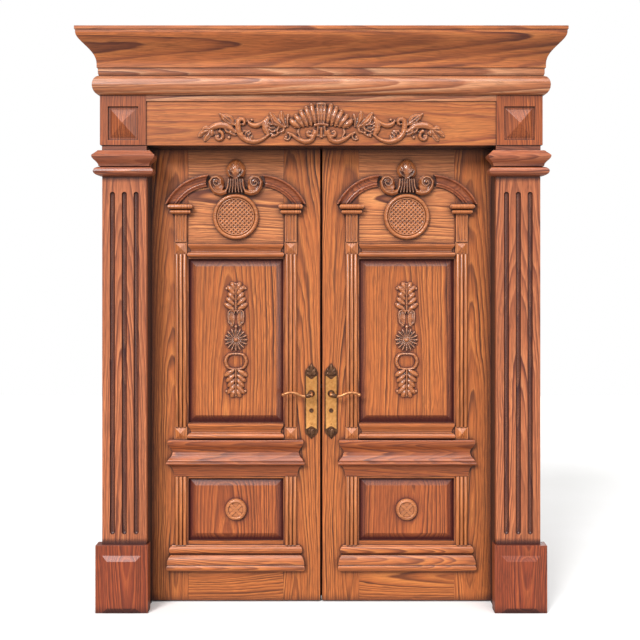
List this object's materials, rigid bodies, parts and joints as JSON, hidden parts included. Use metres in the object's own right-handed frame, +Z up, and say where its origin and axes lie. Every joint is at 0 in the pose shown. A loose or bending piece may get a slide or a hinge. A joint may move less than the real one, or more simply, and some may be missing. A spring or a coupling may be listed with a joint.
{
  "type": "double door with surround",
  "caption": "Carved timber double door: panelled leaves with arches and lever handles, hung in a surround of fluted pilasters under a carved frieze and moulded cornice.",
  "frame": {"origin": "on the floor under the middle of the outline", "axes": "+X to the right seen from the front, +Y through the doorway to the back, +Z up"},
  "size_m": [2.288, 0.375, 2.747],
  "materials": {
    "panel_wood": "satin varnish over straight and cathedral grain",
    "carved_wood": "satin varnish with dark glaze in the hollows",
    "satin_brass": "satin",
    "bronze": "aged",
    "lock_steel": "brushed"
  },
  "bodies": {
    "surround": {"left_jamb": "panel_wood", "right_jamb": "panel_wood", "head_jamb": "panel_wood", "left_shaft": "panel_wood", "right_shaft": "panel_wood", "left_plinth": "carved_wood", "right_plinth": "carved_wood", "left_capital": "carved_wood", "right_capital": "carved_wood", "left_frieze_block": "panel_wood", "right_frieze_block": "panel_wood", "frieze_panel": "panel_wood", "frieze_carving": "carved_wood", "bed_moulding": "panel_wood", "crown_moulding": "panel_wood", "cornice_cap": "panel_wood", "jamb_hinges": "bronze"},
    "left_leaf": {"left_hinge_stile": "panel_wood", "left_lock_stile": "panel_wood", "left_top_rail": "panel_wood", "left_lock_rail": "panel_wood", "left_bottom_rail": "panel_wood", "left_upper_panel": "panel_wood", "left_lower_panel": "panel_wood", "left_arch": "carved_wood", "left_keystone": "carved_wood", "left_rosettes": "carved_wood", "left_panel_bars": "carved_wood", "left_columns": "carved_wood", "left_panel_carving": "carved_wood", "left_waist": "carved_wood", "left_base": "carved_wood", "left_hinges": "bronze", "left_handle_plates": "satin_brass", "left_lock_case": "lock_steel"},
    "right_leaf": {"right_hinge_stile": "panel_wood", "right_lock_stile": "panel_wood", "right_top_rail": "panel_wood", "right_lock_rail": "panel_wood", "right_bottom_rail": "panel_wood", "right_upper_panel": "panel_wood", "right_lower_panel": "panel_wood", "right_arch": "carved_wood", "right_keystone": "carved_wood", "right_rosettes": "carved_wood", "right_panel_bars": "carved_wood", "right_columns": "carved_wood", "right_panel_carving": "carved_wood", "right_waist": "carved_wood", "right_base": "carved_wood", "right_hinges": "bronze", "right_handle_plates": "satin_brass", "right_lock_case": "lock_steel"},
    "left_lever_set": {"left_lever": "satin_brass"},
    "right_lever_set": {"right_lever": "satin_brass"},
    "latch": {"latch_bolt": "lock_steel"},
    "lock_bolt": {"dead_bolt": "lock_steel"},
    "upper_shoot_bolt": {"top_bolt": "lock_steel"},
    "lower_shoot_bolt": {"foot_bolt": "lock_steel"}
  },
  "joints": [
    {"name": "left_leaf_swing", "type": "hinge", "parent": "surround", "child": "left_leaf", "pos_m": [-0.8355, 0.12845, 1.1], "axis": [0, 0, 1], "range_deg": [0, 100]},
    {"name": "right_leaf_swing", "type": "hinge", "parent": "surround", "child": "right_leaf", "pos_m": [0.8355, 0.12845, 1.1], "axis": [0, 0, -1], "range_deg": [0, 100]},
    {"name": "left_lever_turn", "type": "hinge", "parent": "left_leaf", "child": "left_lever_set", "pos_m": [-0.048, 0.09295, 1.014], "axis": [0, 1, 0], "range_deg": [0, 45]},
    {"name": "right_lever_turn", "type": "hinge", "parent": "right_leaf", "child": "right_lever_set", "pos_m": [0.048, 0.09295, 1.014], "axis": [0, 1, 0], "range_deg": [0, 45], "stiffness_Nm_per_rad": 2, "springref_deg": -34.38},
    {"name": "latch_slide", "type": "slide", "parent": "right_leaf", "child": "latch", "axis": [1, 0, 0], "range_m": [0, 0.011]},
    {"name": "dead_bolt_slide", "type": "slide", "parent": "right_leaf", "child": "lock_bolt", "axis": [-1, 0, 0], "range_m": [0, 0.016]},
    {"name": "top_bolt_slide", "type": "slide", "parent": "left_leaf", "child": "upper_shoot_bolt", "axis": [0, 0, 1], "range_m": [0, 0.018]},
    {"name": "foot_bolt_slide", "type": "slide", "parent": "left_leaf", "child": "lower_shoot_bolt", "axis": [0, 0, -1], "range_m": [0, 0.018]}
  ],
  "couplings": [
    {"joint": "latch_slide", "follows": "right_lever_turn", "m_per_rad": 0.014004},
    {"joint": "top_bolt_slide", "follows": "left_lever_turn", "m_per_rad": 0.022916},
    {"joint": "foot_bolt_slide", "follows": "left_lever_turn", "m_per_rad": 0.022916}
  ]
}
